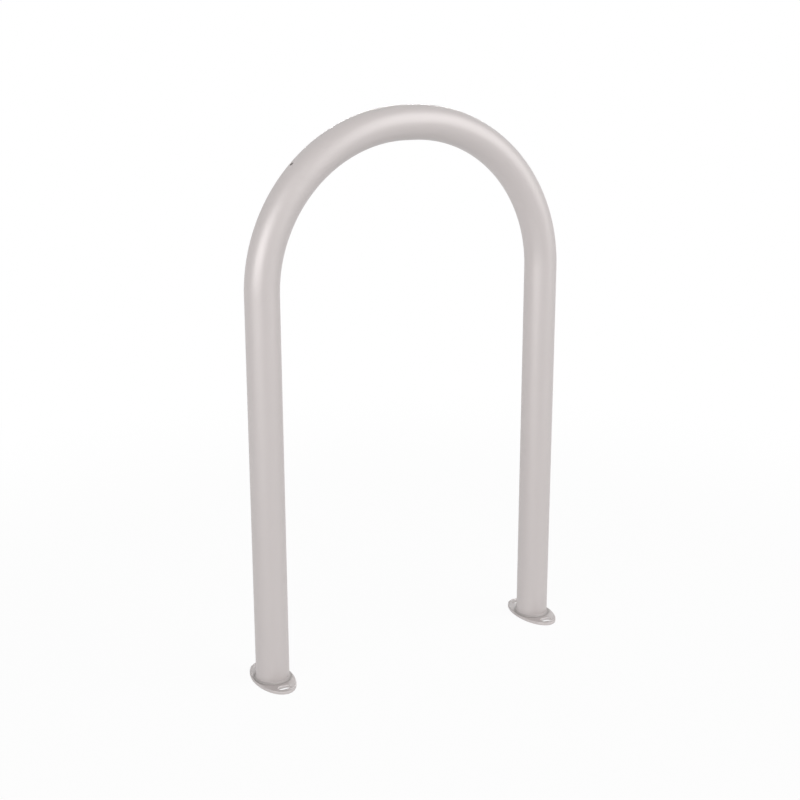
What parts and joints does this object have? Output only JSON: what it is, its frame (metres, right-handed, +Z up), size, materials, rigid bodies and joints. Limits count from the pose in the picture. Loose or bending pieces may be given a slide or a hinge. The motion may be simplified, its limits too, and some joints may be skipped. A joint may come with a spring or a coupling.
{
  "type": "hoop bike rack",
  "caption": "Inverted-U bike rack: a bent round steel tube welded upright on oval base flanges with slotted anchor holes, for leaning and locking a bicycle.",
  "frame": {"origin": "on the ground, midway between the two legs, in the plane of the hoop", "axes": "+Z up, +X along the hoop from the left leg to the right leg, +Y across the hoop, away from the side it is drawn from"},
  "size_m": [0.54, 0.11, 0.8522],
  "materials": {
    "light_grey_powder_coat": "satin light warm grey powder coat over steel, with a fine orange-peel texture"
  },
  "bodies": {
    "root": {"hoop_tube": "light_grey_powder_coat", "base_flange_left": "light_grey_powder_coat", "base_flange_right": "light_grey_powder_coat", "weld_bead_left": "light_grey_powder_coat", "weld_bead_right": "light_grey_powder_coat"}
  },
  "joints": []
}
